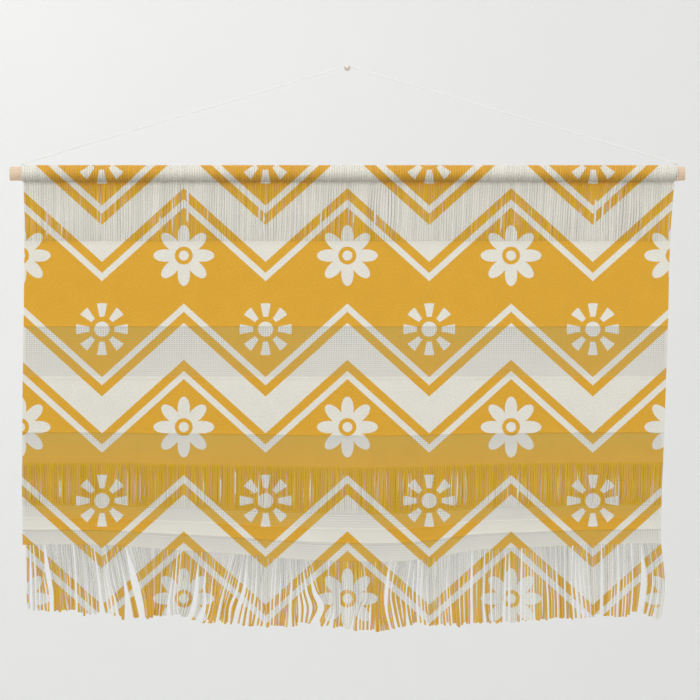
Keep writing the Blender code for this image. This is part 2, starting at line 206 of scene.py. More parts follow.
# The open gaps between the fringe's locks, with its two edges. A gap starts at root, and
# its middle stands this far to the right at half, three quarters and all of its fall. The
# last three are how wide it is open at its root, halfway down and at its tip
GAPS = table(
    "root half low tip root_open half_open tip_open",
    (-295.8, 0.0, 0.0, 0.0, 0.0, 0.0, 0.0),
    (-292.6, 0.8, 1.0, 1.0, 0.3, 2.0, 2.5),
    (-289.4, 1.8, 2.5, 2.7, 0.3, 1.0, 1.2),
    (-279.0, 4.2, 6.4, 5.9, 1.2, 4.2, 2.8),
    (-260.1, 1.8, 2.3, 3.5, 0.7, 1.5, 0.8),
    (-234.0, 4.6, 6.3, 8.4, 0.7, 2.1, 3.4),
    (-227.7, 3.4, 5.4, 7.1, 0.3, 1.0, 2.3),
    (-223.5, 5.4, 9.5, 12.1, 0.3, 1.8, 4.2),
    (-212.6, 7.0, 9.6, 11.5, 0.2, 1.5, 7.4),
    (-204.8, 9.0, 13.1, 16.1, 1.0, 5.4, 6.0),
    (-177.8, 0.3, 0.3, 0.4, 0.4, 0.5, 0.5),
    (-159.0, -3.4, -5.4, -5.7, 0.4, 2.0, 3.2),
    (-153.6, -2.1, -3.3, -3.6, 0.2, 0.7, 1.8),
    (-136.2, -2.8, -4.5, -8.1, 0.3, 3.5, 5.0),
    (-128.7, -3.0, -2.3, -7.1, 0.3, 2.0, 3.9),
    (-121.3, -4.0, -5.0, -9.2, 0.2, 1.3, 2.3),
    (-105.2, -8.0, -11.9, -15.1, 1.2, 1.7, 2.3),
    (-96.2, -5.4, -11.3, -13.0, 0.3, 2.2, 2.2),
    (-92.8, -2.7, -7.5, -10.9, 0.3, 3.4, 5.0),
    (-88.5, 0.0, -2.4, -4.4, 0.3, 1.3, 3.7),
    (-83.6, -0.8, -2.9, -3.8, 0.5, 1.7, 2.0),
    (-77.3, -0.6, 0.4, 1.7, 0.5, 0.7, 1.7),
    (-68.1, -2.0, -2.5, -2.3, 0.4, 0.7, 1.8),
    (-52.0, 0.0, -0.8, -1.2, 0.8, 1.7, 3.4),
    (-48.2, 0.2, 0.8, 2.0, 0.2, 0.7, 0.8),
    (-46.2, 0.7, 2.2, 2.3, 0.3, 1.0, 2.0),
    (-44.3, 2.4, 5.1, 4.6, 0.3, 1.7, 2.1),
    (-41.7, 3.8, 8.3, 5.4, 0.3, 2.3, 2.5),
    (-36.3, 5.2, 11.9, 6.7, 0.2, 3.9, 8.8),
    (-15.2, 0.0, -0.2, -6.0, 0.1, 0.3, 1.2),
    (-12.7, 0.1, 0.2, -1.8, 0.3, 0.4, 3.0),
    (-2.4, 1.4, 0.8, 0.4, 0.3, 0.5, 1.5),
    (4.3, 1.3, 2.1, -0.6, 0.4, 0.5, 1.2),
    (14.8, 1.7, -4.2, -5.4, 0.3, 0.3, 2.2),
    (23.3, 0.0, 0.0, -0.2, 0.3, 0.3, 0.7),
    (39.9, -4.0, -3.4, 0.4, 1.2, 2.7, 1.3),
    (44.1, -4.0, -2.1, 0.4, 0.5, 1.2, 1.5),
    (49.1, -4.6, -2.5, 0.0, 0.3, 0.8, 1.7),
    (53.7, -5.2, -3.8, -1.5, 0.3, 0.8, 1.7),
    (57.9, -3.8, -3.4, -2.1, 0.3, 1.0, 1.7),
    (62.3, -2.3, -1.2, -0.2, 0.8, 2.1, 2.3),
    (65.9, -1.8, -1.4, -0.4, 0.7, 1.2, 1.2),
    (73.2, 0.0, 0.7, 1.9, 0.7, 1.2, 1.3),
    (83.7, 0.0, 0.4, 1.4, 0.4, 0.7, 1.2),
    (91.6, 0.0, 0.8, 2.3, 0.7, 1.0, 1.2),
    (102.7, 0.0, 0.7, 1.7, 0.7, 1.2, 1.0),
    (114.7, -0.2, 0.0, 0.3, 1.2, 2.5, 2.8),
    (126.4, -0.8, -1.1, 0.2, 1.0, 1.4, 2.3),
    (134.1, -1.8, -1.8, -0.8, 0.8, 1.8, 2.2),
    (145.9, -1.2, -1.8, -2.5, 0.3, 1.2, 2.0),
    (148.8, 0.3, 0.1, -0.3, 0.5, 1.3, 1.8),
    (160.5, -0.5, -0.8, -0.8, 1.5, 2.5, 2.2),
    (171.0, 0.4, 0.7, 0.9, 0.7, 1.3, 1.7),
    (179.1, 0.3, 0.3, 0.5, 0.7, 1.2, 1.5),
    (183.3, 0.5, 1.5, 2.3, 0.3, 1.5, 1.7),
    (190.8, 1.8, 2.7, 3.4, 0.4, 1.2, 1.2),
    (200.3, 0.0, 0.3, 0.9, 1.2, 1.8, 1.3),
    (207.8, -1.3, 0.0, 1.4, 1.0, 0.8, 1.2),
    (215.0, 2.5, 4.4, 6.2, 0.8, 1.3, 1.2),
    (220.4, 1.6, 2.9, 4.3, 0.5, 0.8, 0.8),
    (233.8, 0.6, 0.4, -0.1, 1.3, 2.8, 2.5),
    (243.9, 0.2, -0.8, -2.1, 0.4, 1.0, 1.3),
    (248.9, 0.8, 0.3, -0.8, 1.2, 2.0, 1.7),
    (254.3, 0.0, -0.7, -1.7, 0.7, 0.7, 0.8),
    (260.9, 1.6, 1.2, 0.0, 1.5, 1.2, 1.5),
    (270.2, 2.9, 1.7, -0.8, 1.0, 5.7, 5.2),
    (277.8, 3.5, 1.8, -1.7, 0.8, 1.2, 2.0),
    (282.8, 3.8, 2.5, -0.7, 0.3, 0.7, 1.3),
    (289.0, 3.6, 2.7, -0.2, 0.0, 0.0, 0.0),
)

# How far each lock reaches down from its root
TIPS = table(
    "root length",
    (-298.0, 59.9), (-279.5, 61.6), (-259.3, 60.5), (-240.8, 64.1), (-230.7, 62.2),
    (-216.9, 67.0), (-202.1, 66.0), (-172.7, 61.2), (-145.0, 59.4), (-128.0, 63.9), (-96.0, 62.4),
    (-86.1, 65.2), (-52.9, 62.1), (-43.7, 58.5), (-30.0, 57.6), (-17.9, 60.4), (-8.0, 60.6),
    (26.3, 63.7), (38.3, 62.7), (63.2, 58.8), (77.9, 62.5), (118.5, 67.1), (140.6, 68.6),
    (194.0, 66.5), (208.8, 67.2), (228.0, 66.0), (252.0, 67.0), (269.6, 62.0), (276.9, 65.3),
    (288.9, 71.0),
)

CORD_ROUTE = table(
    "x y z",
    (-299.3, -8.60, -88.05),
    (-290.0, -8.55, -85.20),
    (-230.0, -8.15, -67.10),
    (-150.0, -7.60, -43.00),
    (-70.0, -7.05, -18.85),
    (-20.0, -6.70, -3.55),
    (-6.0, -6.60, 0.72),
    (-1.6, -6.60, 2.12),
    (0.0, -6.60, 2.47),
    (1.6, -6.60, 2.12),
    (6.0, -6.60, 0.72),
    (20.0, -6.70, -3.50),
    (70.0, -7.05, -18.50),
    (150.0, -7.60, -42.30),
    (230.0, -8.10, -66.05),
    (294.0, -8.55, -85.10),
    (303.7, -8.60, -88.05),
)
CORD_DIAMETER = 1.1
CORD_STRANDS = 3
CORD_SIDES = 12  # of the mesh, four to a strand
CORD_LAY = 3.4  # the length of one turn of the cord's strands
CORD_WAIST = 0.84  # its middling radius, as a share of that at the top of its lobes
CORD_OUTER = CORD_DIAMETER / 2 / CORD_WAIST
CORD_STEP = 0.28
CORD_POINTS = 60  # of its path, from each tie to the nail
CORD_BUNCH = 1.6  # above 1, the path's points lie closer together toward the nail
TIE_LEFT, TIE_RIGHT = -299.6, 303.5
TIE_EASE = 0.35
TIE_SLANT = 0.25
TIE_POINTS = 90
KNOT_RADIUS = 0.52  # of the cord in a knot, where it is drawn tight
KNOT_RISE = 8.9  # from the rod's middle to the knot's
KNOT_HALF = 0.95  # half the knot's length along the rod
KNOT_LOOP = 0.45
KNOT_POINTS = 120

# The printed design: broad zigzags with a thin line on either side, and daisies and suns
# in the points between them. It is a plain stock design, not the one in the photograph.
ZIG_HALF = CLOTH_WIDTH / 8  # from a point of the zigzag to the next
ZIG_SLOPE = 0.9
ZIG_REPEAT = 158.0
ZIG_START = 4.0  # from the heading's top to the first zigzag's points
BROAD_LINE = 34.0
THIN_LINE = 7.6
THIN_PLACE = 31.0
DAISY_RADIUS = 28.0
DAISY_WAIST = 14.0  # how far in the notches between its petals reach
DAISY_EYE = 4.6
DAISY_RING = 8.2
SUN_DISC = 7.0
SUN_RAY_START = 11.5
SUN_RAY_END = 24.0


def flow(stops, values, at, level=False):
    """A smooth curve through values at stops, read at places. Each place may have a column
    of values of its own. If it is level, the curve is level at each stop and never swings
    past one."""
    stops = np.array(stops, float)
    values = np.array(values, float).reshape(len(stops), -1)
    at = np.clip(at, stops[0], stops[-1])
    last = len(stops) - 1
    i = np.clip(np.searchsorted(stops, at) - 1, 0, last - 1)
    column = np.arange(len(at)) if values.shape[1] > 1 else 0
    before, after = np.maximum(i - 1, 0), np.minimum(i + 2, last)
    span = stops[i + 1] - stops[i]
    share = (at - stops[i]) / span
    start, end = values[i, column], values[i + 1, column]
    value = start + (end - start) * share**2 * (3 - 2 * share)
    if not level:
        slope_in = (end - values[before, column]) / (stops[i + 1] - stops[before])
        slope_out = (values[after, column] - start) / (stops[after] - stops[i])
        value += span * slope_in * share * (1 - share) ** 2
        value -= span * slope_out * share**2 * (1 - share)
    return value


def curve(rows, at, column, level=False):
    """A table's column at places between its rows, on a smooth curve through them."""
    return flow([row[0] for row in rows], [getattr(row, column) for row in rows], at, level)


def proud(depth):
    """How far the weave at a depth stands in front of the plain weave. The loose warp also
    swells, because its yarns are slack."""
    value = np.full_like(depth, BANDS[0].proud)
    for above, band in zip(BANDS, BANDS[1:]):
        share = np.clip((depth - band.top) / BAND_STEP + 0.5, 0.0, 1.0)
        value += (band.proud - above.proud) * share
    return value


def forward(across, depth):
    """How far the folds and ripples carry the cloth forward at a place."""
    fade = np.clip((depth - FOLD_START) / (CLOTH_DROP - FOLD_START), 0.0, 1.0)
    push = sum(f.forward * np.exp(-(((across - f.across) / f.width) ** 2)) for f in FOLDS)
    low = np.clip(depth / FOLD_START, 0.0, 1.0)
    small = sum(
        r.height * np.sin(TURN * (across / r.across + depth / r.down) + r.phase) for r in RIPPLES
    )
    return push * fade**1.5 + small * low


def hang(across, depth, out):
    """Places on the hanging cloth, in the frame. across is measured on the flat cloth from
    its middle, and out is how far a place stands out of the cloth's face."""
    share = across / CLOTH_WIDTH + 0.5
    left, right = curve(SIDES, depth, "left"), curve(SIDES, depth, "right")
    x = left + (right - left) * share
    drop = curve(HEM_SAG, x, "drop") * curve(SAG_SHARES, depth, "share")
    y = ROD_Y - proud(depth) - forward(x, depth) - out
    return np.stack([x, y, SEAM_Z - depth - drop], 1)


def wrap(across, depth, out):
    """Places on the heading, which is turned once round the rod. depth runs up to 0 here."""
    share = across / CLOTH_WIDTH + 0.5
    angle = TURN * (1 + depth / HEADING_ROUND)
    seam = hang(across, np.zeros_like(depth), out)[:, 0]
    end = HEADING_LEFT + CLOTH_WIDTH * share
    x = seam + (end - seam) * np.sin(angle / 2)
    radius = HEADING_RADIUS + out
    return np.stack([x, ROD_Y + radius * np.sin(angle), ROD_Z - radius * np.cos(angle)], 1)


def srgb(code):
    """A hex colour as linear red, green, blue and alpha."""
    values = [int(code[i : i + 2], 16) / 255 for i in (0, 2, 4)]
    return (*(v / 12.92 if v <= 0.04045 else ((v + 0.055) / 1.055) ** 2.4 for v in values), 1.0)


def feed(tree, node, sockets):
    """Sets a node's inputs, each by its name or number, to a plain value, or to the node or
    socket that feeds it. A node feeds it from its first output in use."""
    for key, value in sockets.items():
        if isinstance(value, bpy.types.Node):
            value = next(output for output in value.outputs if output.enabled)
        if isinstance(value, bpy.types.NodeSocket):
            tree.links.new(value, node.inputs[key])
        else:
            node.inputs[key].default_value = value


def add(tree, kind, sockets=None, **settings):
    """Adds a node with its settings and with what goes into it."""
    made = tree.nodes.new(kind)
    for name, value in settings.items():
        setattr(made, name, value)
    feed(tree, made, sockets or {})
    return made


def work_out(tree, known, *steps):
    """Adds a Math node for each step: its name, its operation, and numbers or the names of
    earlier steps. Returns all that is known by name."""
    for name, operation, *operands in steps:
        sockets = {i: known[o] if isinstance(o, str) else o for i, o in enumerate(operands)}
        known[name] = add(tree, "ShaderNodeMath", sockets, operation=operation)
    return known


# The design as sums on x, across the cloth, and y, down it from the heading's top
DESIGN = (
    ("zig", "PINGPONG", "x", ZIG_HALF),
    ("rise", "MULTIPLY", "zig", ZIG_SLOPE),
    ("from zig", "SUBTRACT", "y", "rise"),
    ("in repeat", "WRAP", "from zig", ZIG_REPEAT / 2, -ZIG_REPEAT / 2),
    ("off line", "ABSOLUTE", "in repeat"),
    ("broad", "LESS_THAN", "off line", BROAD_LINE / 2),
    ("off thin", "SUBTRACT", "off line", THIN_PLACE),
    ("near thin", "ABSOLUTE", "off thin"),
    ("thin", "LESS_THAN", "near thin", THIN_LINE / 2),
    ("lower point", "GREATER_THAN", "zig", ZIG_HALF / 2),
    ("point rise", "MULTIPLY", "lower point", ZIG_HALF * ZIG_SLOPE),
    ("from point", "SUBTRACT", "y", "point rise"),
    ("from motif", "ADD", "from point", ZIG_REPEAT / 2),
    ("dy", "WRAP", "from motif", ZIG_REPEAT / 2, -ZIG_REPEAT / 2),
    ("dx", "PINGPONG", "x", ZIG_HALF / 2),
    ("dx squared", "MULTIPLY", "dx", "dx"),
    ("r squared", "MULTIPLY_ADD", "dy", "dy", "dx squared"),
    ("r", "SQRT", "r squared"),
    ("angle", "ARCTAN2", "dy", "dx"),
    ("four angles", "MULTIPLY", "angle", 4.0),
    ("petal wave", "COSINE", "four angles"),
    ("petal", "ABSOLUTE", "petal wave"),
    ("petal end", "MULTIPLY_ADD", "petal", DAISY_RADIUS - DAISY_WAIST, DAISY_WAIST),
    ("in petal", "LESS_THAN", "r", "petal end"),
    ("past ring", "GREATER_THAN", "r", DAISY_RING),
    ("petals", "MULTIPLY", "in petal", "past ring"),
    ("eye", "LESS_THAN", "r", DAISY_EYE),
    ("daisy", "MAXIMUM", "petals", "eye"),
    ("eight angles", "MULTIPLY", "angle", 8.0),
    ("ray wave", "COSINE", "eight angles"),
    ("ray", "GREATER_THAN", "ray wave", 0.0),
    ("past disc", "GREATER_THAN", "r", SUN_RAY_START),
    ("before end", "LESS_THAN", "r", SUN_RAY_END),
    ("ray from", "MULTIPLY", "ray", "past disc"),
    ("rays", "MULTIPLY", "ray from", "before end"),
    ("disc", "LESS_THAN", "r", SUN_DISC),
    ("sun", "MAXIMUM", "rays", "disc"),
    ("change", "SUBTRACT", "sun", "daisy"),
    ("motif", "MULTIPLY_ADD", "change", "lower point", "daisy"),
    ("lines", "MAXIMUM", "broad", "thin"),
    ("cream", "MAXIMUM", "lines", "motif"),
)

MUSTARD, CREAM, UNPRINTED = map(srgb, ("E7AE38", "EFEBDF", "F3F4EC"))

# What full shade shows between mustard yarns, and between cream ones: the room's cool shade
# through open work, and the yarns' own deep shade where they are packed close
NET_SHADES = srgb("7AB573"), srgb("617591")
FRINGE_SHADES = srgb("A7B15C"), srgb("8D95A4")
LOOSE_SHADES = srgb("A09400"), srgb("ABA9A5")
CLOSE_SHADES = srgb("523F0E"), srgb("56584F")

# How many of a random pattern's patches go to a metre
INK_WANDER = 0.9 / MM  # the wandering of the ink's edge, about every 1.1 mm
CLOTH_PATCH = 0.06 / MM  # lighter and darker patches of cloth, about 17 mm wide
FIBRE_PATCH = 0.4 / MM  # whiter and creamier fibres in a yarn, about every 2.5 mm
WEAR_PATCH = 0.9 / MM  # worn spots of plating, about 1.1 mm wide
BEECH_STREAK = 0.012 / MM, 0.7 / MM  # about 80 mm along the grain and 1.4 mm across it
BEECH_FLECK = 0.18 / MM, 2.2 / MM  # about 5.6 mm along the grain and 0.45 mm across it
INK_BLEED = 0.7  # the most by which the ink's edge wanders, in millimetres
INK_FADE = 0.15  # how softly the ink stops on its way round a yarn
PATCH_TONE = 0.08  # how much lighter the lightest patch is than the darkest


def put_in(name, data):
    """A new object in the scene, at the origin."""
    made = bpy.data.objects.new(name, data)
    bpy.context.scene.collection.objects.link(made)
    return made


def settle(piece):
    """Gives a piece the plain mesh that its modifiers make, without the modifiers."""
    graph = bpy.context.evaluated_depsgraph_get()
    mesh = bpy.data.meshes.new_from_object(piece.evaluated_get(graph), depsgraph=graph)
    piece.modifiers.clear()
    piece.data = mesh
    return mesh


def new_material(name):
    """A new material, its tree and its Principled shader."""
    material = bpy.data.materials.new(name)
    material.use_nodes = True
    return material, material.node_tree, material.node_tree.nodes["Principled BSDF"]


def printed_cotton(cotton):
    """Cotton yarn, printed on its face after weaving: flat mustard and cream ink that sits
    in the yarns, so it is matte, with each warp yarn a little lighter or darker. Where a
    yarn's own side or the cloth's back shows, it is off-white, but for what soaked through."""
    material, tree, shader = new_material(cotton.name)
    uv = add(tree, "ShaderNodeUVMap", uv_map="cloth")
    place = add(tree, "ShaderNodeSeparateXYZ", {0: uv}).outputs
    yarn_uv = add(tree, "ShaderNodeUVMap", uv_map="yarn")
    yarn = add(tree, "ShaderNodeSeparateXYZ", {0: yarn_uv}).outputs
    known = {"u": place["X"], "v": place["Y"], "across": yarn["X"], "along": yarn["Y"]}
    for name in ("face", "pit", "lot"):
        known[name] = add(tree, "ShaderNodeAttribute", attribute_name=name).outputs["Fac"]
    for name, scale, detail in (("bleed", INK_WANDER, 1.0), ("patch", CLOTH_PATCH, 3.0)):
        noise = {"Vector": uv, "Scale": scale, "Detail": detail}
        known[name] = add(tree, "ShaderNodeTexNoise", noise)
    ends = {"From Min": cotton.edge - INK_FADE, "From Max": cotton.edge + INK_FADE}
    known["mask"] = add(tree, "ShaderNodeMapRange", {"Value": known["face"], **ends})
    work_out(
        tree,
        known,
        ("bleed mm", "MULTIPLY_ADD", "bleed", INK_BLEED, -INK_BLEED / 2),
        ("x", "MULTIPLY_ADD", "u", 1 / MM, "bleed mm"),
        ("down", "MULTIPLY_ADD", "v", 1 / MM, "bleed mm"),
        ("y", "ADD", "down", 2 * HEADING_RADIUS - ZIG_START),
        *DESIGN,
        *cotton.steps,
        ("from lot", "MULTIPLY_ADD", "lot", cotton.tone, 1 - cotton.tone / 2),
        ("from patch", "MULTIPLY_ADD", "patch", PATCH_TONE, 1 - PATCH_TONE / 2),
        ("tone", "MULTIPLY", "from lot", "from patch"),
        ("printed", "MULTIPLY_ADD", "mask", 1 - cotton.soak, cotton.soak),
        ("bare", "SUBTRACT", 1.0, "mask"),
        ("pale", "MAXIMUM", "cream", "bare"),
    )
    colours = {"Factor": known["cream"], "A": MUSTARD, "B": CREAM}
    ink = add(tree, "ShaderNodeMix", colours, data_type="RGBA")
    colours = {"Factor": known["printed"], "A": UNPRINTED, "B": ink}
    yarns = add(tree, "ShaderNodeMix", colours, data_type="RGBA")
    toned = add(tree, "ShaderNodeVectorMath", {0: yarns, "Scale": known["tone"]}, operation="SCALE")
    # Painted shade: each point's shade mixes its colour toward the shade colours of mustard or cream
    # yarns, and a shade below 0 paints it lighter
    colours = {"Factor": known["pale"], "A": cotton.shades[0], "B": cotton.shades[1]}
    deep = add(tree, "ShaderNodeMix", colours, data_type="RGBA")
    colours = {"Factor": known["shade"], "A": toned, "B": deep}
    shaded = add(tree, "ShaderNodeMix", colours, data_type="RGBA", clamp_factor=False)
    relief = {"Height": known["height"], "Distance": cotton.relief * MM}
    bump = add(tree, "ShaderNodeBump", relief)
    feed(tree, shader, {"Base Color": shaded, "Normal": bump, "Roughness": 0.93})
    feed(tree, shader, {"Sheen Weight": 0.12, "Specular IOR Level": 0.25})
    return material


def ply_steps(lay):
    """The relief of a yarn or cord of two plies, whose twist runs slantwise round it."""
    return (
        ("twist", "DIVIDE", "along", lay * MM),
        ("ply place", "ADD", "twist", "across"),
        ("ply turn", "MULTIPLY", "ply place", 2 * TURN),
        ("height", "SINE", "ply turn"),
    )


# Each cotton's steps work out the height of its relief, and how far painted shade darkens it;
# the grain in the shade is how unevenly the ink took.
# Plain weave: over and under, drawn at twice its real spacing so that it shows
PLAIN_STEPS = (
    ("warp turn", "MULTIPLY", "across", TURN / (PLAIN_SPACING * MM)),
    ("weft turn", "MULTIPLY", "along", TURN / (PLAIN_SPACING * MM)),
    ("warp wave", "SINE", "warp turn"),
    ("weft wave", "SINE", "weft turn"),
    ("height", "MULTIPLY", "warp wave", "weft wave"),
    ("grain", "MULTIPLY_ADD", "bleed", 0.45, -0.205),
    ("shade", "MULTIPLY_ADD", "height", 0.02, "grain"),
)
# Leno: slanting plies on the net, painted shade on its faint ribs and round its holes, and a
# thin line of painted shade along each band's top, where the plain weave overhangs it
NET_STEPS = (
    ("slant", "MULTIPLY_ADD", "across", 0.5, "along"),
    ("ply turn", "MULTIPLY", "slant", TURN / (LENO_PLY * MM)),
    ("height", "SINE", "ply turn"),
    ("depth", "DIVIDE", "along", MM),
    *(
        (f"line {k}", "COMPARE", "depth", band.top + LENO_LINE / 2, LENO_LINE / 2)
        for k, band in enumerate(band for band in BANDS if band.weave == "leno")
    ),
    ("lines 1", "MAXIMUM", "line 0", "line 1"),
    ("lines 2", "MAXIMUM", "line 2", "line 3"),
    ("any line", "MAXIMUM", "lines 1", "lines 2"),
    ("line shade", "MULTIPLY", "any line", 0.12),
    ("rib turn", "MULTIPLY", "across", TURN / (WARP_PITCH * MM)),
    ("rib wave", "COSINE", "rib turn"),
    ("rib shade", "MULTIPLY_ADD", "rib wave", 0.03, 0.04),
    ("deep", "MULTIPLY_ADD", "pit", 3.2, -1.75),
    ("pit shade", "MAXIMUM", "deep", 0.0),
    ("all pits", "ADD", "pit shade", "rib shade"),
    ("shade", "MAXIMUM", "line shade", "all pits"),
)
# Loose warp, heading and fringe: the plies of each yarn, painted shade between its plies, and
# the shade or light painted on each point
YARN_STEPS = (
    *ply_steps(YARN_LAY),
    ("grain", "MULTIPLY_ADD", "bleed", 0.7, -0.31),
    ("ply shade", "MULTIPLY_ADD", "height", -0.04, "grain"),
    ("shade", "MULTIPLY_ADD", "pit", 0.45, "ply shade"),
)

# relief is how high a yarn's plies stand in millimetres, tone how far yarns differ, edge how
# far round one the ink stops, where 1 is its very front, and soak how much of the ink comes
# through behind
COTTONS = table(
    "name steps relief tone edge soak shades",
    ("printed plain-weave cotton", PLAIN_STEPS, 0.06, 0.02, 0.3, 0.12, CLOSE_SHADES),
    ("printed leno cotton", NET_STEPS, 0.08, 0.05, 0.3, 0.15, NET_SHADES),
    ("printed loose cotton warp", YARN_STEPS, 0.06, 0.14, 0.15, 0.65, LOOSE_SHADES),
    ("printed close cotton warp", YARN_STEPS, 0.06, 0.08, 0.15, 0.65, CLOSE_SHADES),
    ("printed cotton fringe", YARN_STEPS, 0.06, 0.2, 0.3, 0.3, FRINGE_SHADES),
)
plain_cotton, net_cotton, loose_cotton, heading_cotton, fringe_cotton = map(printed_cotton, COTTONS)


def white_yarn(name, dark, light, lay, depth, soft):
    """Undyed cotton yarn, spun and plied: matte off-white, with its slanting plies. soft is
    how much light goes through its loose fibres, which keeps its shaded side pale."""
    material, tree, shader = new_material(name)
    yarn_uv = add(tree, "ShaderNodeUVMap", uv_map="yarn")
    yarn = add(tree, "ShaderNodeSeparateXYZ", {0: yarn_uv}).outputs
    known = work_out(tree, {"across": yarn["X"], "along": yarn["Y"]}, *ply_steps(lay))
    noise = {"Vector": yarn_uv, "Scale": FIBRE_PATCH, "Detail": 2.0}
    fibres = add(tree, "ShaderNodeTexNoise", noise)
    colours = {"Factor": fibres, "A": srgb(dark), "B": srgb(light)}
    tint = add(tree, "ShaderNodeMix", colours, data_type="RGBA")
    bump = add(tree, "ShaderNodeBump", {"Height": known["height"], "Distance": depth * MM})
    feed(tree, shader, {"Base Color": tint, "Normal": bump, "Roughness": 0.9, "Sheen Weight": 0.15})
    feed(tree, shader, {"Subsurface Weight": soft, "Subsurface Radius": (1.0, 1.0, 1.0)})
    feed(tree, shader, {"Subsurface Scale": 1.5 * MM})
    return material


undyed_yarn = white_yarn("undyed cotton yarn", "F1EEE6", "FAF8F3", YARN_LAY, 0.15, 0.0)
cord_cotton = white_yarn("twisted white cotton cord", "FAFAF8", "FFFFFF", CORD_LAY, 0.04, 0.9)


def sanded_beech():
    """Beech dowel, turned and sanded but not varnished: pale pinkish tan, matte, with fine
    darker flecks and streaks along the grain."""
    material, tree, shader = new_material("sanded beech")
    place = add(tree, "ShaderNodeTexCoord").outputs["Object"]
    axis = (0.0, -ROD_Y * MM, -ROD_Z * MM)
    centred = add(tree, "ShaderNodeMapping", {"Vector": place, "Location": axis})
    made = []
    for (along, across), detail in ((BEECH_STREAK, 4.0), (BEECH_FLECK, 1.0)):
        stretch = {"Vector": centred, "Scale": (along, across, across)}
        stretched = add(tree, "ShaderNodeMapping", stretch)
        noise = {"Vector": stretched, "Scale": 1.0, "Detail": detail}
        made.append(add(tree, "ShaderNodeTexNoise", noise))
    grain, flecks = made
    ramp = add(tree, "ShaderNodeValToRGB", {0: grain})
    for stop, position, code in zip(ramp.color_ramp.elements, (0.3, 0.75), ("DDBD9C", "EDD6BD")):
        stop.position, stop.color = position, srgb(code)
    mask = add(tree, "ShaderNodeMapRange", {"Value": flecks, "From Min": 0.62, "From Max": 0.72})
    colours = {"Factor": mask, "A": ramp, "B": srgb("BF9C78")}
    colour = add(tree, "ShaderNodeMix", colours, data_type="RGBA")
    bump = add(tree, "ShaderNodeBump", {"Height": grain, "Distance": 0.08 * MM})
    feed(tree, shader, {"Base Color": colour, "Normal": bump, "Roughness": 0.6})
    return material


def satin_brass():
    """Brass-plated steel nail, drawn and headed: satin and pale, with a painted highlight that
    makes it paler in the middle of its dome and duller toward its rim."""
    material, tree, shader = new_material("satin brass plating")
    place = add(tree, "ShaderNodeTexCoord").outputs["Object"]
    spot = add(tree, "ShaderNodeSeparateXYZ", {0: place}).outputs
    wear = add(tree, "ShaderNodeTexNoise", {"Vector": place, "Scale": WEAR_PATCH, "Detail": 3.0})
    known = work_out(
        tree,
        {"x": spot["X"], "z": spot["Z"], "wear": wear},
        ("x squared", "MULTIPLY", "x", "x"),
        ("r squared", "MULTIPLY_ADD", "z", "z", "x squared"),
        ("r", "SQRT", "r squared"),
        ("r mm", "DIVIDE", "r", MM),
        ("ragged", "MULTIPLY_ADD", "wear", 0.5, "r mm"),
    )
    # Painted highlight: paler in the middle of the dome, its edge made ragged by the worn spots
    ends = {"From Min": 0.9, "From Max": 1.8, "To Min": 1.0, "To Max": 0.0}
    painted_highlight = add(tree, "ShaderNodeMapRange", {"Value": known["ragged"], **ends})
    colours = {"Factor": painted_highlight, "A": srgb("DBCEC3"), "B": srgb("F6EFE8")}
    tone = add(tree, "ShaderNodeMix", colours, data_type="RGBA")
    dull = add(tree, "ShaderNodeMapRange", {"Value": wear, "To Min": 0.36, "To Max": 0.5})
    feed(tree, shader, {"Base Color": tone, "Roughness": dull, "Metallic": 1.0})
    return material


def new_tree(name, **inputs):
    """An empty Geometry Nodes tree with one geometry output. inputs gives the names of its
    inputs for each kind of socket. Returns the tree, and what each input brings by name."""
    tree = bpy.data.node_groups.new(name, "GeometryNodeTree")
    for kind, labels in inputs.items():
        for label in labels:
            tree.interface.new_socket(label, in_out="INPUT", socket_type="NodeSocket" + kind)
    tree.interface.new_socket("Geometry", in_out="OUTPUT", socket_type="NodeSocketGeometry")
    brought = add(tree, "NodeGroupInput").outputs
    return tree, {socket.name: socket for socket in brought if socket.name}


def finish_tree(tree, shape, known):
    """Ends a tree: real geometry, its material, and the way out."""
    real = add(tree, "GeometryNodeRealizeInstances", {0: shape})
    dressed = add(tree, "GeometryNodeSetMaterial", {0: real, "Material": known["material"]})
    add(tree, "NodeGroupOutput", {0: dressed})
    return tree


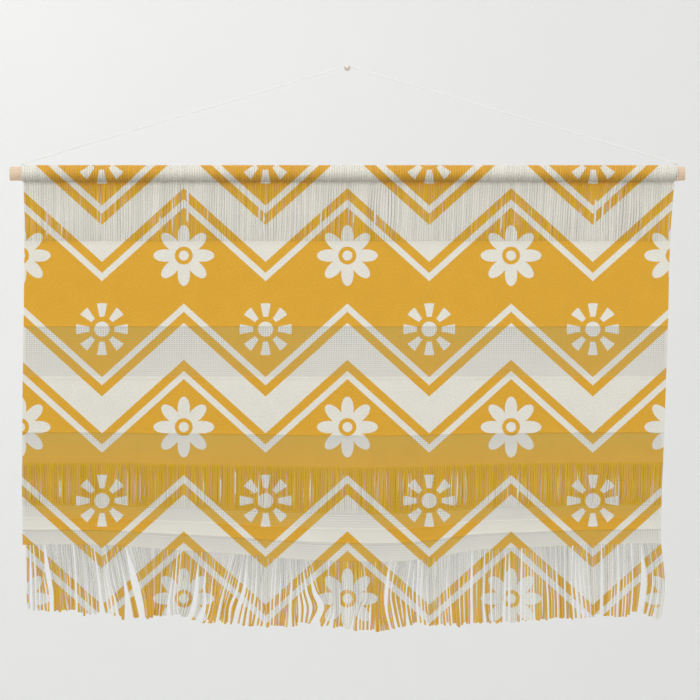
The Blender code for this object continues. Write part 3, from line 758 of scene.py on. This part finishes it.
def yarn_row_tree():
    """A row of straight yarns side by side, from Y = 0 down. Each point keeps its yarn's
    middle as root, and a number of its yarn's own as lot."""
    tree, known = new_tree(
        "row of yarns",
        Int=("count", "rings", "sides", "seed"),
        Float=("pitch", "length", "radius", "flatness"),
        Material=("material",),
    )
    work_out(
        tree,
        known,
        ("steps", "SUBTRACT", "count", 1.0),
        ("span", "MULTIPLY", "steps", "pitch"),
        ("start", "MULTIPLY", "span", -0.5),
        ("down", "MULTIPLY", "length", -1.0),
    )
    start = add(tree, "ShaderNodeCombineXYZ", {"X": known["start"]})
    offset = add(tree, "ShaderNodeCombineXYZ", {"X": known["pitch"]})
    line = {"Count": known["count"], "Start Location": start, "Offset": offset}
    roots = add(tree, "GeometryNodeMeshLine", line)
    place = add(tree, "ShaderNodeSeparateXYZ", {0: add(tree, "GeometryNodeInputPosition")})
    lot = add(tree, "FunctionNodeRandomValue", {"Seed": known["seed"]}, data_type="FLOAT")
    for name, number in (("root", place), ("lot", lot)):
        stored = {"Geometry": roots, "Name": name, "Value": number}
        roots = add(tree, "GeometryNodeStoreNamedAttribute", stored)
    end = add(tree, "ShaderNodeCombineXYZ", {"Y": known["down"]})
    line = add(tree, "GeometryNodeCurvePrimitiveLine", {"End": end})
    fine = add(tree, "GeometryNodeResampleCurve", {"Curve": line, "Count": known["rings"]})
    section = {"Resolution": known["sides"], "Radius": known["radius"]}
    ring = add(tree, "GeometryNodeCurvePrimitiveCircle", section)
    closed = {"Curve": fine, "Profile Curve": ring, "Fill Caps": True}
    tube = add(tree, "GeometryNodeCurveToMesh", closed)
    squash = add(tree, "ShaderNodeCombineXYZ", {"X": 1.0, "Y": 1.0, "Z": known["flatness"]})
    flat = add(tree, "GeometryNodeTransform", {"Geometry": tube, "Scale": squash})
    smooth = add(tree, "GeometryNodeSetShadeSmooth", {"Geometry": flat})
    rows = add(tree, "GeometryNodeInstanceOnPoints", {"Points": roots, "Instance": smooth})
    return finish_tree(tree, rows, known)


def net_tree():
    """A leno net: a grid whose rows are staggered, with a hole in each square but those
    along its edges. Its cords swell between the holes and close up at them and at the net's
    edges."""
    tree, known = new_tree(
        "leno net",
        Int=("columns", "rows"),
        Float=("width", "height", "top_hole", "bottom_hole", "thickness"),
        Material=("material",),
    )
    place = add(tree, "ShaderNodeSeparateXYZ", {0: add(tree, "GeometryNodeInputPosition")}).outputs
    known.update({"x": place["X"], "y": place["Y"]})
    work_out(
        tree,
        known,
        ("column lines", "ADD", "columns", 1.0),
        ("row lines", "ADD", "rows", 1.0),
        ("row height", "DIVIDE", "height", "rows"),
        ("row place", "DIVIDE", "y", "row height"),
        # The quarter keeps each line of points inside its own row's number, for a net with
        # an odd number of rows and for one with an even number
        ("from far below", "ADD", "row place", 1000.25),
        ("row number", "FLOOR", "from far below"),
        ("odd", "PINGPONG", "row number", 1.0),
        ("side", "SUBTRACT", "odd", 0.5),
        ("column width", "DIVIDE", "width", "columns"),
        ("half column", "MULTIPLY", "column width", 0.5),
        ("stagger", "MULTIPLY", "side", "half column"),
        ("far out", "ABSOLUTE", "x"),
        ("far up", "ABSOLUTE", "y"),
        ("half width", "MULTIPLY", "width", JUST_UNDER_HALF),
        ("half height", "MULTIPLY", "height", JUST_UNDER_HALF),
        ("in width", "LESS_THAN", "far out", "half width"),
        ("in height", "LESS_THAN", "far up", "half height"),
        ("inside", "MULTIPLY", "in width", "in height"),
        ("shift", "MULTIPLY", "stagger", "inside"),
        ("height share", "DIVIDE", "y", "height"),
        ("up", "ADD", "height share", 0.5),
        ("more", "SUBTRACT", "top_hole", "bottom_hole"),
        ("hole", "MULTIPLY_ADD", "up", "more", "bottom_hole"),
        ("fade", "MULTIPLY_ADD", "up", 0.25, 0.75),
    )
    area = {"Size X": known["width"], "Size Y": known["height"]}
    lines = {"Vertices X": known["column lines"], "Vertices Y": known["row lines"]}
    grid = add(tree, "GeometryNodeMeshGrid", {**area, **lines})
    stored = {"Geometry": grid, "Name": "swell", "Value": known["inside"]}
    marked = add(tree, "GeometryNodeStoreNamedAttribute", stored)
    sideways = add(tree, "ShaderNodeCombineXYZ", {"X": known["shift"]})
    staggered = add(tree, "GeometryNodeSetPosition", {"Geometry": marked, "Offset": sideways})
    swell = add(tree, "GeometryNodeInputNamedAttribute", {"Name": "swell"})
    open_square = add(tree, "ShaderNodeMath", {0: swell, 1: 0.9}, operation="GREATER_THAN")
    faces = {"Mesh": staggered, "Selection": open_square, "Offset Scale": 0.0, "Individual": True}
    inset = add(tree, "GeometryNodeExtrudeMesh", faces, mode="FACES").outputs
    hole = inset["Top"]
    shape = {"Geometry": inset["Mesh"], "Selection": hole, "Scale": known["hole"]}
    shrunk = add(tree, "GeometryNodeScaleElements", shape, domain="FACE")
    # Painted shade round each hole, stronger toward the net's top; its points also mark the holes'
    # edges
    depth = add(tree, "ShaderNodeMath", {0: hole, 1: known["fade"]}, operation="MULTIPLY")
    stored = {"Geometry": shrunk, "Name": "pit", "Value": depth}
    pitted = add(tree, "GeometryNodeStoreNamedAttribute", stored)
    holes = {"Geometry": pitted, "Selection": hole}
    net = add(tree, "GeometryNodeDeleteGeometry", holes, domain="FACE", mode="ONLY_FACE")
    pit = add(tree, "GeometryNodeInputNamedAttribute", {"Name": "pit"})
    known.update({"swell": swell, "pit": pit})
    work_out(
        tree,
        known,
        ("edge", "GREATER_THAN", "pit", 0.0),
        ("crest", "SUBTRACT", "swell", "edge"),
        ("cord", "MAXIMUM", "crest", 0.0),
        ("half", "MULTIPLY", "thickness", 0.5),
        ("rise", "MULTIPLY", "cord", "half"),
        ("fall", "MULTIPLY", "rise", -1.0),
    )
    front, behind = (
        add(
            tree,
            "GeometryNodeSetPosition",
            {"Geometry": net, "Offset": add(tree, "ShaderNodeCombineXYZ", {"Z": known[way]})},
        )
        for way in ("rise", "fall")
    )
    both = add(tree, "GeometryNodeJoinGeometry", {0: front})
    feed(tree, both, {0: add(tree, "GeometryNodeFlipFaces", {"Mesh": behind})})
    closed = add(tree, "GeometryNodeMergeByDistance", {"Geometry": both, "Distance": 1e-6})
    smooth = add(tree, "GeometryNodeSetShadeSmooth", {"Geometry": closed})
    return finish_tree(tree, smooth, known)


def grow(name, tree, **sizes):
    """Makes a tree's shape with these sizes, and returns it as a plain mesh object."""
    piece = put_in(name, bpy.data.meshes.new(name))
    making = piece.modifiers.new("making", "NODES")
    making.node_group = tree
    for socket in tree.interface.items_tree:
        if socket.in_out == "INPUT":
            making[socket.identifier] = sizes[socket.name]
    settle(piece).name = name
    return piece


def points_of(mesh):
    """A mesh's points as rows of x, y and z in millimetres."""
    flat = np.zeros(len(mesh.vertices) * 3, np.float32)
    mesh.vertices.foreach_get("co", flat)
    return flat.reshape(-1, 3).astype(float) / MM


def values_of(mesh, name):
    """The numbers of a named attribute, one for each point."""
    found = np.zeros(len(mesh.vertices), np.float32)
    mesh.attributes[name].data.foreach_get("value", found)
    return found.astype(float)


def set_points(mesh, points):
    mesh.vertices.foreach_set("co", (points * MM).astype(np.float32).ravel())
    mesh.update()


def set_map(mesh, name, u, v, round_yarn=False):
    """A UV map from two numbers for each point. If it goes round a yarn, u counts turns, and
    no face jumps back a turn."""
    corners = np.zeros(len(mesh.loops), np.int32)
    mesh.loops.foreach_get("vertex_index", corners)
    u, v = u[corners], v[corners]
    if round_yarn:
        starts = np.zeros(len(mesh.polygons), np.int32)
        mesh.polygons.foreach_get("loop_start", starts)
        totals = np.diff(np.append(starts, len(corners)))
        u = u + np.round(np.repeat(u[starts], totals) - u)
    layer = mesh.uv_layers.new(name=name, do_init=False)
    layer.uv.foreach_set("vector", np.stack([u, v], 1).astype(np.float32).ravel())


def set_number(mesh, name, values):
    """One number for each point, under a name. "face" is how squarely a point looks out of
    the cloth's face, 1 on it and -1 on its back. "pit" is how much shade is painted
    on it, or below 0, how much light is painted on it. "lot" is how much paler its yarn took
    the ink; on the plain weave it is painted shade, darker toward the hem."""
    numbers = mesh.attributes.new(name, "FLOAT", "POINT").data
    numbers.foreach_set("value", np.asarray(values, np.float32))


def set_spots(mesh, spots, printed=None):
    """Puts a mesh's points in their places. The print was pressed on from in front when the
    cloth already hung, so it takes their places across and down, unless printed says how
    far down the print a point is."""
    down = SEAM_Z - spots[:, 2] if printed is None else printed
    set_map(mesh, "cloth", spots[:, 0] * MM, down * MM)
    set_points(mesh, spots)


def drape(piece, across, depth, out, face):
    """Hangs a flat piece: across, depth and out say where each of its points goes."""
    set_number(piece.data, "face", face)
    set_spots(piece.data, hang(across, depth, out))
    return piece


def smooth_noise(random, count, reach):
    """Random numbers for a row of yarns that change slowly from yarn to yarn, with a mean
    of 0 and a spread of 1."""
    rough = random.normal(0.0, 1.0, count + 6 * reach)
    ramp = np.exp(-((np.arange(-3 * reach, 3 * reach + 1) / reach) ** 2))
    calm = np.convolve(rough, ramp, "same")[3 * reach : 3 * reach + count]
    return (calm - calm.mean()) / calm.std()


def slide(random, count):
    """How far each of a row of slack yarns has slid sideways, in millimetres. Here and there
    a group of yarns stands apart, a few gaps are wide, and the others close up."""
    apart = np.clip(smooth_noise(random, count, SLIDE_GROUP) - 0.5, 0.0, 0.95)
    steps = apart * (0.3 + 0.9 * random.random(count))
    steps += np.where(random.random(count) < WIDE_GAP_SHARE, WIDE_GAP, 0.0)
    slid = np.cumsum(steps - steps.mean())
    near = 2 * SLIDE_CLOSE_UP + 1
    padded = np.pad(slid, SLIDE_CLOSE_UP, mode="edge")
    return slid - np.convolve(padded, np.ones(near) / near, "valid")


YARNS = yarn_row_tree()
NET = net_tree()


def yarn_row(name, material, length, radius, flatness, rings, sides, seed, count=WARP_COUNT):
    """A flat row of yarns, and for each of its points: its yarn's middle, its yarn's own
    number, its place down the yarn, and its place round the yarn's middle."""
    piece = grow(
        name,
        YARNS,
        count=count,
        pitch=CLOTH_WIDTH / count * MM,
        length=length * MM,
        radius=radius * MM,
        flatness=flatness,
        rings=rings,
        sides=sides,
        seed=seed,
        material=material,
    )
    points = points_of(piece.data)
    root = values_of(piece.data, "root") / MM
    lot = values_of(piece.data, "lot")
    return piece, root, lot, -points[:, 1], points[:, 0] - root, points[:, 2]


def map_yarns(piece, aside, out, along, rolled=0.0):
    """Maps a row of yarns for its twist, and returns how squarely each point looks out of
    the cloth's printed face, from which a loose yarn may have rolled away."""
    angle = np.arctan2(out, aside)
    set_map(piece.data, "yarn", angle / TURN, along * MM, round_yarn=True)
    return np.sin(angle + rolled)


def make_heading():
    """The warp yarns side by side round the rod, from the seam behind it to the seam."""
    piece, root, lot, along, aside, out = yarn_row(
        "heading",
        heading_cotton,
        length=HEADING_ROUND,
        radius=WARP_PITCH * 0.53,
        flatness=0.44,
        rings=25,
        sides=6,
        seed=3,
    )
    depth = along - HEADING_ROUND
    spots = wrap(root + aside, depth, out + HEADING_UNEVEN * (lot - 0.5))
    in_front = HEADING_RADIUS * (np.cos(TURN * depth / HEADING_ROUND) - 1)
    behind = depth + HEADING_ROUND / 2 - 2 * HEADING_RADIUS
    printed = np.where(depth > -HEADING_ROUND / 2, in_front, behind)
    height = np.clip((spots[:, 2] - SEAM_Z) / (2 * HEADING_RADIUS), 0.0, 1.0)
    # Painted shade where its round turns away from the light, deepest at the seam; there the ink also
    # went in between its yarns
    set_number(piece.data, "pit", HEADING_SHADE * np.clip(1 - height / HEADING_TURNS, 0.0, 1.0))
    face = map_yarns(piece, aside, out, along)
    set_number(piece.data, "face", np.maximum(face, HEADING_TURNS - height))
    set_spots(piece.data, spots, printed)
    return piece


def make_loose_band(name, top, bottom, warp, seed):
    """One band of loose warp: printed yarns in front, slid aside here and there, and the
    undyed yarns that show between them."""
    random = np.random.default_rng(seed)
    slid = slide(random, WARP_COUNT)
    lean = random.normal(0.0, LOOSE_LEAN, WARP_COUNT)
    sag = random.normal(0.0, LOOSE_SAG, WARP_COUNT)
    rolled = random.normal(0.0, LOOSE_ROLL, WARP_COUNT)
    # Above 1, a yarn bellies most below the band's middle
    lowest = np.clip(1.3 + 0.35 * smooth_noise(random, WARP_COUNT, 6), 0.7, 2.1)
    made = []
    rows = (
        (name + "_front", loose_cotton, 15, 6, 0.54, 0.36, 1.0, 0.0, WARP_COUNT),
        (name + "_back", undyed_yarn, 9, 5, 0.58, 0.25, 0.15, 0.32, WARP_COUNT - 1),
    )
    for label, material, rings, sides, radius, flatness, sliding, behind, count in rows:
        length = bottom - top + 2 * BAND_STEP
        piece, root, lot, along, aside, out = yarn_row(
            label, material, length, radius * WARP_PITCH, flatness, rings, sides, seed, count
        )
        root *= (count - 1) * WARP_PITCH / np.ptp(root)
        depth = np.maximum(along + top - BAND_STEP, 0.0)
        share = np.clip((depth - top) / (bottom - top), 0.0, 1.0)
        index = np.round((root + CLOTH_WIDTH / 2) / WARP_PITCH - 0.5).astype(int)
        belly = np.sin(math.pi * share ** lowest[index])
        moved = sliding * belly * (slid[index] + lean[index] * (share - 0.5))
        swell = warp.slack * belly**2 * (1 + sag[index]) + LOOSE_UNEVEN * (lot - 0.5)
        face = map_yarns(piece, aside, out, along, rolled[index] * belly)
        # Painted shade, more of it just under the band's top, and painted light right under the
        # heading against the shadow it casts
        start = depth - top
        pit = warp.shade + warp.top * np.exp(-start / TOP_SHADE_REACH)
        pit -= warp.under * np.exp(-((start / UNDER_HEADING_REACH) ** 2))
        set_number(piece.data, "pit", np.maximum(pit, -0.2))
        made.append(drape(piece, root + aside + moved, depth, out + swell - behind, face))
    return made


def make_net_band(name, top, bottom):
    """One band of leno net, whose holes are widest just under its first pick."""
    low = bottom + (BAND_STEP / 2 if bottom == CLOTH_DROP else LENO_TUCK)
    height = low - top + LENO_TUCK
    piece = grow(
        name,
        NET,
        columns=WARP_COUNT,
        rows=round(height / LENO_ROW),
        width=CLOTH_WIDTH * MM,
        height=height * MM,
        top_hole=0.06,
        bottom_hole=0.04,
        thickness=LENO_THICK * MM,
        material=net_cotton,
    )
    piece.data.set_sharp_from_angle(angle=math.radians(55))
    points = points_of(piece.data)
    across, out = points[:, 0], points[:, 2]
    depth = low - height / 2 - points[:, 1]
    set_map(piece.data, "yarn", across * MM, depth * MM)
    # The points along its edges, where front and back meet, count as its face
    return drape(piece, across, depth, out, np.where(out > -0.01, NET_FACE, -1.0))


def make_plain_bands():
    """The bands of plain weave, in one piece, each with a thick last weft at its edges."""
    sheet = bmesh.new()
    for band, below in zip(BANDS, BANDS[1:]):
        if band.weave != "plain":
            continue
        first, last = band.top + PLAIN_EDGE, below.top - PLAIN_EDGE[::-1]
        steps = max(2, round((last[0] - first[-1]) / PLAIN_ROW))
        depths = [*first, *np.linspace(first[-1], last[0], steps + 1)[1:-1], *last]
        made = bmesh.ops.create_grid(
            sheet, x_segments=PLAIN_COLUMNS, y_segments=len(depths) - 1, size=1.0
        )
        for vert in made["verts"]:
            row = round((1 - vert.co.y) / 2 * (len(depths) - 1))
            vert.co = Vector((vert.co.x * CLOTH_WIDTH / 2, -depths[row], 0.0)) * MM
    mesh = bpy.data.meshes.new("plain_weave")
    sheet.to_mesh(mesh)
    sheet.free()
    mesh.materials.append(plain_cotton)
    piece = put_in("plain_weave", mesh)
    body = piece.modifiers.new("thickness", "SOLIDIFY")
    body.thickness = PLAIN_THICK * MM
    body.offset = 0.0
    mesh = settle(piece)
    mesh.shade_smooth()
    mesh.set_sharp_from_angle(angle=math.radians(50))
    points = points_of(mesh)
    across, depth, out = points[:, 0], -points[:, 1], points[:, 2]
    edges = np.array([band.top for band in BANDS])
    from_edge = np.abs(depth[:, None] - edges[None, :]).min(1)
    bead = LAST_WEFT * np.exp(-(((from_edge - LAST_WEFT_IN) / LAST_WEFT_HALF) ** 2))
    set_map(mesh, "yarn", across * MM, depth * MM)
    # Painted shade: the lower bands darker toward the hem
    set_number(mesh, "lot", np.interp(depth, *zip(*PLAIN_PAINTED_SHADE)))
    face = np.sign(out)
    return drape(piece, across, depth, out + face * bead, face)


def strand_roots(random):
    """Where the fringe's strands start, side by side in each lock, but with some standing
    apart. Returns each one's root, its lock's number and its place in that lock, which is 0
    against the lock's left edge and 1 against its right."""
    strands = []
    for lock, (gap, after) in enumerate(zip(GAPS, GAPS[1:])):
        width = after.root - gap.root - (gap.root_open + after.root_open) / 2
        count = max(1, round(width / WARP_PITCH + 0.2))
        room = 1.0 + 0.5 * random.random(count) ** 3
        places = (np.cumsum(room) - room[0]) / max(room[1:].sum(), 1.0)
        left, right = gap.root + STRAND_RADIUS, after.root - STRAND_RADIUS
        for place in places if count > 1 else [0.5]:
            strands.append((left + (right - left) * place, lock, place))
    roots, locks, places = np.array(strands).T
    return roots, locks.astype(int), places


def gap_edge(number, share, side):
    """Where a gap's edge stands across the fringe at a share of its fall, for each point's
    gap. side is 0.5 for the gap's right edge and -0.5 for its left."""
    gap = dict(zip(GAPS[0]._fields, np.array(GAPS)[number].T))
    still = np.zeros(len(share))
    middle = flow((0.0, 0.5, 0.75, 1.0), [still, gap["half"], gap["low"], gap["tip"]], share)
    width = flow((0.0, 0.5, 1.0), [gap["root_open"], gap["half_open"], gap["tip_open"]], share)
    width *= width / (width + FRAY)
    return gap["root"] + middle + side * width


def make_fringe():
    """The fringe: the warp's free ends, side by side in locks, with open gaps between."""
    random = np.random.default_rng(21)
    roots, locks, places = strand_roots(random)
    count = len(roots)
    piece, row, lot, along, aside, out = yarn_row(
        "fringe_strands",
        fringe_cotton,
        length=FRINGE_DROP,
        radius=STRAND_RADIUS,
        flatness=0.7,
        rings=17,
        sides=6,
        seed=21,
        count=count,
    )
    index = np.round((row / CLOTH_WIDTH + 0.5) * count - 0.5).astype(int)
    share = np.clip(along / FRINGE_DROP, 0.0, 1.0)
    lock, root = locks[index], roots[index]
    own = random.normal(0.0, 1.0, (3, count))[:, index]
    swing, hook = random.normal(0.0, STRAND_SWING, (2, len(GAPS)))[:, lock]
    left, right = gap_edge(lock, share, 0.5), gap_edge(lock + 1, share, -0.5)
    left, right = left + STRAND_RADIUS, right - STRAND_RADIUS
    x = left + (right - left) * places[index]
    # The strands at the right hang straighter
    curl = np.interp(root, *zip(*STRAND_CURLS))
    x += curl * STRAND_BOW * own[0] * np.sin(3 * share + own[2]) ** 2
    x += curl * hook * (np.maximum(share + STRAND_HOOK - 1, 0.0) / STRAND_HOOK) ** 2
    # Strands that have no room beside each other go in front of and behind their neighbours
    between = (right - left) / np.maximum(np.bincount(locks)[lock] - 1, 1)
    crowd = np.clip(2 * STRAND_RADIUS - between, 0.0, STRAND_CLOSE)
    lift = STRAND_LIFT * crowd * (-1.0) ** index
    lift += share**1.5 * (swing + STRAND_STRAY * own[1])
    length = curve(TIPS, root, "length", level=True) + STRAND_UNEVEN * own[2]
    hem_left, hem_right = SIDES[-1].left, SIDES[-1].right
    across = ((root - hem_left) / (hem_right - hem_left) - 0.5) * CLOTH_WIDTH
    depth = np.full_like(root, CLOTH_DROP - 0.2)
    # Painted shade on the strands, deepest at their roots under the hem and less toward their tips
    set_number(piece.data, "pit", FRINGE_SHADE - FRINGE_SHADE_LOST * share)
    rolled = STRAND_ROLL * own[1] * np.minimum(3 * share, 1.0)
    set_number(piece.data, "face", map_yarns(piece, aside, out, share * length, rolled))
    spots = hang(across, depth, 0.0)
    spots[:, 0] = x + aside * (1 - STRAND_TAPER * lot * np.minimum(2 * share, 1.0))
    spots[:, 1] -= out + lift
    spots[:, 2] -= share * length
    set_spots(piece.data, spots)
    return piece


def twisted_tree():
    """A cord of three strands: a three-lobed section that turns as it follows a path."""
    tree, known = new_tree(
        "twisted cord", Object=("path",), Float=("radius", "lay", "step"), Material=("material",)
    )
    path = add(tree, "GeometryNodeObjectInfo", {"Object": known["path"]}).outputs["Geometry"]
    fine = add(
        tree, "GeometryNodeResampleCurve", {"Curve": path, "Length": known["step"]}, mode="LENGTH"
    )
    known["along"] = add(tree, "GeometryNodeSplineParameter").outputs["Length"]
    known["index"] = add(tree, "GeometryNodeInputIndex")
    work_out(
        tree,
        known,
        ("turns", "DIVIDE", "along", "lay"),
        ("angle", "MULTIPLY", "turns", TURN),
        ("place", "MULTIPLY", "index", TURN * CORD_STRANDS / CORD_SIDES),
        ("wave", "COSINE", "place"),
        ("size", "MULTIPLY_ADD", "wave", 1 - CORD_WAIST, CORD_WAIST),
        ("around", "DIVIDE", "index", CORD_SIDES),
    )
    turned = add(tree, "GeometryNodeSetCurveTilt", {"Curve": fine, "Tilt": known["angle"]})
    ring = add(
        tree, "GeometryNodeCurvePrimitiveCircle", {"Resolution": CORD_SIDES, "Radius": known["radius"]}
    )
    place = add(tree, "GeometryNodeInputPosition")
    lobed = add(tree, "ShaderNodeVectorMath", {0: place, "Scale": known["size"]}, operation="SCALE")
    section = add(tree, "GeometryNodeSetPosition", {"Geometry": ring, "Position": lobed})
    line, profile = (
        add(tree, "GeometryNodeStoreNamedAttribute", {0: shape, "Name": name, "Value": known[name]})
        for shape, name in ((turned, "along"), (section, "around"))
    )
    closed = {"Curve": line, "Profile Curve": profile, "Fill Caps": True}
    cord = add(tree, "GeometryNodeCurveToMesh", closed)
    smooth = add(tree, "GeometryNodeSetShadeSmooth", {"Geometry": cord})
    return finish_tree(tree, smooth, known)


TWISTED = twisted_tree()


def make_twisted(name, points, radius):
    """A twisted cord along points in the frame, in millimetres."""
    line = bpy.data.curves.new(name + "_line", "CURVE")
    line.dimensions = "3D"
    spline = line.splines.new("POLY")
    spline.points.add(len(points) - 1)
    for point, (x, y, z) in zip(spline.points, points):
        point.co = (x * MM, y * MM, z * MM, 1.0)
    path = put_in(name + "_line", line)
    piece = grow(
        name,
        TWISTED,
        path=path,
        radius=radius * MM,
        lay=CORD_LAY * MM,
        step=CORD_STEP * MM,
        material=cord_cotton,
    )
    set_map(piece.data, "yarn", values_of(piece.data, "around"), values_of(piece.data, "along"))
    bpy.data.objects.remove(path)
    return piece


def make_hanging_cord():
    """The cord from the left tie over the nail to the right tie, and its path, whose points
    lie closest together at the nail."""
    share = np.linspace(-1, 1, 2 * CORD_POINTS - 1)
    ends = np.where(share < 0, -CORD_ROUTE[0].x, CORD_ROUTE[-1].x)
    x = ends * np.sign(share) * np.abs(share) ** CORD_BUNCH
    route = np.stack([x, curve(CORD_ROUTE, x, "y"), curve(CORD_ROUTE, x, "z")], 1)
    return make_twisted("hanging_cord_twisted", route, CORD_OUTER), route


def make_tie(name, across):
    """The cord's end: once round the rod, and a small overhand knot on top."""
    radius = ROD_RADIUS + TIE_EASE + CORD_DIAMETER / 2
    angles = np.linspace(0.0, TURN, TIE_POINTS)
    x = across + TIE_SLANT * np.sin(angles / 2)
    ring = np.stack([x, ROD_Y + radius * np.sin(angles), ROD_Z + radius * np.cos(angles)], 1)
    angles = np.linspace(0.0, TURN, KNOT_POINTS)
    x = across + KNOT_HALF * np.sin(angles)
    y = ROD_Y + 0.75 * KNOT_LOOP * (np.cos(angles) - 2 * np.cos(2 * angles))
    z = ROD_Z + KNOT_RISE + 0.55 * KNOT_LOOP * (np.sin(angles) + 2 * np.sin(2 * angles))
    knot = np.stack([x, y, z], 1)
    around = make_twisted(name, ring, CORD_DIAMETER / 2)
    return around, make_twisted(name + "_knot", knot, KNOT_RADIUS)


def make_stage():
    """A pale round studio: a floor and a wall that run into each other, open above."""
    material, tree, shader = new_material("matte pale studio paint")
    place = add(tree, "ShaderNodeTexCoord").outputs["Object"]
    mottle = add(tree, "ShaderNodeTexNoise", {"Vector": place, "Scale": 1.5})
    colours = {"Factor": mottle, "A": srgb("F3F3F1"), "B": srgb("F6F5F4")}
    tone = add(tree, "ShaderNodeMix", colours, data_type="RGBA")
    feed(tree, shader, {"Base Color": tone, "Roughness": 0.95})
    radius, floor, cove, top = 10.0, -2.3, 0.7, 5.5
    corners = [(radius, 0.0, top)]
    for angle in np.linspace(TURN / 4, 0.0, 9):
        out, up = cove * math.sin(angle), cove * (1 - math.cos(angle))
        corners.append((radius - cove + out, 0.0, floor + up))
    corners.append((0.0, 0.0, floor))
    mesh = bpy.data.meshes.new("studio")
    mesh.from_pydata(corners, [(i, i + 1) for i in range(len(corners) - 1)], [])
    mesh.materials.append(material)
    studio = put_in("studio", mesh)
    lathe = studio.modifiers.new("turning", "SCREW")
    lathe.steps = lathe.render_steps = 96
    lathe.use_merge_vertices = True
    lathe.merge_threshold = 1e-4


PHOTO_SIDE = 700
MM_PER_PIXEL = 603.0 / 654.5
NAIL_PIXEL = (347.4, 68.05)
CAMERA_AWAY = 5000.0


def make_camera():
    """Square on to the cloth and far off, with a lens that takes in the photograph's frame."""
    data = bpy.data.cameras.new("camera")
    wide = PHOTO_SIDE * MM_PER_PIXEL
    data.lens = data.sensor_width * CAMERA_AWAY / wide
    camera = put_in("camera", data)
    x = (PHOTO_SIDE / 2 - NAIL_PIXEL[0]) * MM_PER_PIXEL
    z = -(PHOTO_SIDE / 2 - NAIL_PIXEL[1]) * MM_PER_PIXEL
    camera.location = Vector((x, ROD_Y - CAMERA_AWAY, z)) * MM
    camera.rotation_euler = (math.radians(90), 0.0, 0.0)
    bpy.context.scene.camera = camera


def make_lights():
    """Wide soft lights in front and behind, an even sky, and a glow on the far wall."""
    world = bpy.data.worlds.new("sky")
    world.use_nodes = True
    sky = world.node_tree.nodes["Background"]
    sky.inputs["Color"].default_value = (0.97, 0.985, 1.0, 1.0)
    sky.inputs["Strength"].default_value = 0.82
    bpy.context.scene.world = world
    lamps = (
        ("key", (-1.1, -2.3, 2.6), (0.0, 0.0, -0.25), 1.6, 48.0),
        ("fill", (1.5, -2.6, 0.2), (0.0, 0.0, -0.25), 2.0, 4.0),
        ("back", (0.3, 2.2, 1.2), (0.0, 0.0, -0.25), 1.6, 8.0),
        ("glow", (-1.7, 7.3, 1.7), (-0.65, 10.0, 0.0), 2.2, 30.0),
    )
    for name, place, target, size, power in lamps:
        lamp = bpy.data.lights.new(name, "AREA")
        lamp.size = size
        lamp.energy = power
        lit = put_in(name, lamp)
        lit.location = place
        aim = Vector(target) - Vector(place)
        lit.rotation_euler = aim.to_track_quat("-Z", "Y").to_euler()


make_camera()
make_lights()
make_stage()
bpy.context.scene.view_settings.view_transform = "Standard"

cord, cord_path = make_hanging_cord()
tie_left = make_tie("cord_tie_left_turn", TIE_LEFT)
tie_right = make_tie("cord_tie_right_turn", TIE_RIGHT)
cloth = [make_plain_bands(), make_heading()]
nets = loose = 0
for band, below in zip(BANDS, BANDS[1:]):
    if band.weave == "leno":
        nets += 1
        cloth.append(make_net_band(f"leno_band_{nets}", band.top, below.top))
    if band.weave == "loose":
        loose += 1
        warp = LOOSE_WARP[loose - 1]
        cloth += make_loose_band(f"loose_warp_{loose}", band.top, below.top, warp, 10 + loose)
fringe = make_fringe()

for node, slot, pieces in (
    ("hanging_cord", "white_cord", [cord]),
    ("cord_tie_left", "white_cord", tie_left),
    ("cord_tie_right", "white_cord", tie_right),
    ("cloth", "woven_cotton", cloth),
    ("fringe", "fringe_cotton", [fringe]),
):
    for piece in pieces:
        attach(piece, "root")
        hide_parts(node)

for name, material in (("rod", sanded_beech()), ("nail", satin_brass())):
    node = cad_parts[name]
    node.data.materials.clear()
    node.data.materials.append(material)
